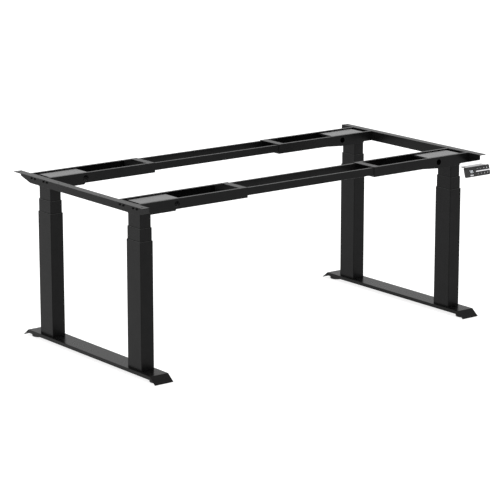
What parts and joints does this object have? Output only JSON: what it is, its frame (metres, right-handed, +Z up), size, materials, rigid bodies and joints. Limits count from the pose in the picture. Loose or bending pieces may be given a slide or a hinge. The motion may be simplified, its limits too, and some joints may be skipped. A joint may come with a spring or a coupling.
{
  "type": "height adjustable desk frame",
  "caption": "Black steel sit-stand desk frame: telescopic columns on flat feet, two sliding cross beams, side brackets and a keypad handset.",
  "frame": {"origin": "on the floor, midway between the four columns", "axes": "+X along the desk to the user's right, +Y away from the user, +Z up"},
  "size_m": [1.81, 1.1142, 0.716],
  "materials": {
    "powder_coat": "fine textured powder coat, satin black",
    "collar_plastic": "moulded nylon",
    "black_bolt": "black oxide",
    "nut_steel": "drawn tube",
    "spindle_steel": "greased",
    "motor_case": "satin",
    "pad_plastic": "moulded",
    "handset_plastic": "fine spark-eroded texture",
    "screen": "gloss window over a lit display",
    "button_rubber": "soft touch"
  },
  "bodies": {
    "base_left": {"left_foot": "powder_coat", "outer_tube_front_left": "powder_coat", "outer_tube_rear_left": "powder_coat", "left_outer_collars": "collar_plastic", "left_foot_bolts": "black_bolt"},
    "middle_front_left": {"middle_tube_front_left": "powder_coat", "middle_collar_front_left": "collar_plastic", "nut_tube_front_left": "nut_steel"},
    "middle_rear_left": {"middle_tube_rear_left": "powder_coat", "middle_collar_rear_left": "collar_plastic", "nut_tube_rear_left": "nut_steel"},
    "top_left": {"left_side_bracket": "powder_coat", "beam_end_front_left": "powder_coat", "beam_end_rear_left": "powder_coat", "inner_tube_front_left": "powder_coat", "inner_tube_rear_left": "powder_coat", "motor_front_left": "motor_case", "motor_rear_left": "motor_case", "left_motor_covers": "powder_coat", "left_bracket_bolts": "black_bolt"},
    "centre_rails": {"front_beam_rails": "powder_coat", "rear_beam_rails": "powder_coat"},
    "top_right": {"right_side_bracket": "powder_coat", "beam_end_front_right": "powder_coat", "beam_end_rear_right": "powder_coat", "inner_tube_front_right": "powder_coat", "inner_tube_rear_right": "powder_coat", "motor_front_right": "motor_case", "motor_rear_right": "motor_case", "right_motor_covers": "powder_coat", "right_bracket_bolts": "black_bolt", "handset_housing": "handset_plastic", "handset_display": "screen"},
    "middle_front_right": {"middle_tube_front_right": "powder_coat", "middle_collar_front_right": "collar_plastic", "nut_tube_front_right": "nut_steel"},
    "middle_rear_right": {"middle_tube_rear_right": "powder_coat", "middle_collar_rear_right": "collar_plastic", "nut_tube_rear_right": "nut_steel"},
    "base_right": {"right_foot": "powder_coat", "outer_tube_front_right": "powder_coat", "outer_tube_rear_right": "powder_coat", "right_outer_collars": "collar_plastic", "right_foot_bolts": "black_bolt"},
    "spindle_front_left": {"spindle_front_left": "spindle_steel"},
    "levelling_foot_front_left": {"levelling_foot_front_left": "pad_plastic"},
    "spindle_rear_left": {"spindle_rear_left": "spindle_steel"},
    "levelling_foot_rear_left": {"levelling_foot_rear_left": "pad_plastic"},
    "spindle_front_right": {"spindle_front_right": "spindle_steel"},
    "levelling_foot_front_right": {"levelling_foot_front_right": "pad_plastic"},
    "spindle_rear_right": {"spindle_rear_right": "spindle_steel"},
    "levelling_foot_rear_right": {"levelling_foot_rear_right": "pad_plastic"},
    "button_raise": {"button_raise": "button_rubber"},
    "button_lower": {"button_lower": "button_rubber"},
    "button_memory": {"button_memory": "button_rubber"},
    "button_lock": {"button_lock": "button_rubber"},
    "button_preset_1": {"button_preset_1": "button_rubber"},
    "button_preset_2": {"button_preset_2": "button_rubber"},
    "button_preset_3": {"button_preset_3": "button_rubber"},
    "button_preset_4": {"button_preset_4": "button_rubber"}
  },
  "joints": [
    {"name": "lift", "type": "slide", "parent": "base_left", "child": "middle_front_left", "axis": [0, 0, 1], "range_m": [-0.05, 0.27]},
    {"name": "lift_inner_left", "type": "slide", "parent": "middle_front_left", "child": "top_left", "axis": [0, 0, 1], "range_m": [-0.05, 0.27]},
    {"name": "lift_middle_rear_left", "type": "slide", "parent": "base_left", "child": "middle_rear_left", "axis": [0, 0, 1], "range_m": [-0.05, 0.27]},
    {"name": "width", "type": "slide", "parent": "top_left", "child": "centre_rails", "axis": [1, 0, 0], "range_m": [-0.24, 0]},
    {"name": "width_right", "type": "slide", "parent": "centre_rails", "child": "top_right", "axis": [1, 0, 0], "range_m": [-0.24, 0]},
    {"name": "lift_middle_front_right", "type": "slide", "parent": "top_right", "child": "middle_front_right", "axis": [0, 0, -1], "range_m": [-0.05, 0.27]},
    {"name": "lift_middle_rear_right", "type": "slide", "parent": "top_right", "child": "middle_rear_right", "axis": [0, 0, -1], "range_m": [-0.05, 0.27]},
    {"name": "lift_base_right", "type": "slide", "parent": "middle_front_right", "child": "base_right", "axis": [0, 0, -1], "range_m": [-0.05, 0.27]},
    {"name": "spindle_turn_front_left", "type": "hinge", "parent": "top_left", "child": "spindle_front_left", "pos_m": [-0.82, -0.322, 0.6], "axis": [0, 0, 1], "range_deg": [-2255, 12155]},
    {"name": "level_front_left", "type": "slide", "parent": "base_left", "child": "levelling_foot_front_left", "axis": [0, 0, -1], "range_m": [0, 0.01]},
    {"name": "spindle_turn_rear_left", "type": "hinge", "parent": "top_left", "child": "spindle_rear_left", "pos_m": [-0.82, 0.322, 0.6], "axis": [0, 0, 1], "range_deg": [-2255, 12155]},
    {"name": "level_rear_left", "type": "slide", "parent": "base_left", "child": "levelling_foot_rear_left", "axis": [0, 0, -1], "range_m": [0, 0.01]},
    {"name": "spindle_turn_front_right", "type": "hinge", "parent": "top_right", "child": "spindle_front_right", "pos_m": [0.82, -0.322, 0.6], "axis": [0, 0, 1], "range_deg": [-2255, 12155]},
    {"name": "level_front_right", "type": "slide", "parent": "base_right", "child": "levelling_foot_front_right", "axis": [0, 0, -1], "range_m": [0, 0.01]},
    {"name": "spindle_turn_rear_right", "type": "hinge", "parent": "top_right", "child": "spindle_rear_right", "pos_m": [0.82, 0.322, 0.6], "axis": [0, 0, 1], "range_deg": [-2255, 12155]},
    {"name": "level_rear_right", "type": "slide", "parent": "base_right", "child": "levelling_foot_rear_right", "axis": [0, 0, -1], "range_m": [0, 0.01]},
    {"name": "button_raise_press", "type": "slide", "parent": "top_right", "child": "button_raise", "axis": [0, 0.9613, -0.2756], "range_m": [0, 0.0008], "stiffness_N_per_m": 1200},
    {"name": "button_lower_press", "type": "slide", "parent": "top_right", "child": "button_lower", "axis": [0, 0.9613, -0.2756], "range_m": [0, 0.0008], "stiffness_N_per_m": 1200},
    {"name": "button_memory_press", "type": "slide", "parent": "top_right", "child": "button_memory", "axis": [0, 0.9613, -0.2756], "range_m": [0, 0.0008], "stiffness_N_per_m": 1200},
    {"name": "button_lock_press", "type": "slide", "parent": "top_right", "child": "button_lock", "axis": [0, 0.9613, -0.2756], "range_m": [0, 0.0008], "stiffness_N_per_m": 1200},
    {"name": "button_preset_1_press", "type": "slide", "parent": "top_right", "child": "button_preset_1", "axis": [0, 0.9613, -0.2756], "range_m": [0, 0.0008], "stiffness_N_per_m": 1200},
    {"name": "button_preset_2_press", "type": "slide", "parent": "top_right", "child": "button_preset_2", "axis": [0, 0.9613, -0.2756], "range_m": [0, 0.0008], "stiffness_N_per_m": 1200},
    {"name": "button_preset_3_press", "type": "slide", "parent": "top_right", "child": "button_preset_3", "axis": [0, 0.9613, -0.2756], "range_m": [0, 0.0008], "stiffness_N_per_m": 1200},
    {"name": "button_preset_4_press", "type": "slide", "parent": "top_right", "child": "button_preset_4", "axis": [0, 0.9613, -0.2756], "range_m": [0, 0.0008], "stiffness_N_per_m": 1200}
  ],
  "couplings": [
    {"joint": "lift_inner_left", "follows": "lift", "ratio": 1},
    {"joint": "lift_middle_rear_left", "follows": "lift", "ratio": 1},
    {"joint": "lift_middle_front_right", "follows": "lift", "ratio": 1},
    {"joint": "lift_middle_rear_right", "follows": "lift", "ratio": 1},
    {"joint": "lift_base_right", "follows": "lift", "ratio": 1},
    {"joint": "width_right", "follows": "width", "ratio": 1},
    {"joint": "spindle_turn_front_left", "follows": "lift", "rad_per_m": 785.4},
    {"joint": "spindle_turn_rear_left", "follows": "lift", "rad_per_m": 785.4},
    {"joint": "spindle_turn_front_right", "follows": "lift", "rad_per_m": 785.4},
    {"joint": "spindle_turn_rear_right", "follows": "lift", "rad_per_m": 785.4}
  ]
}
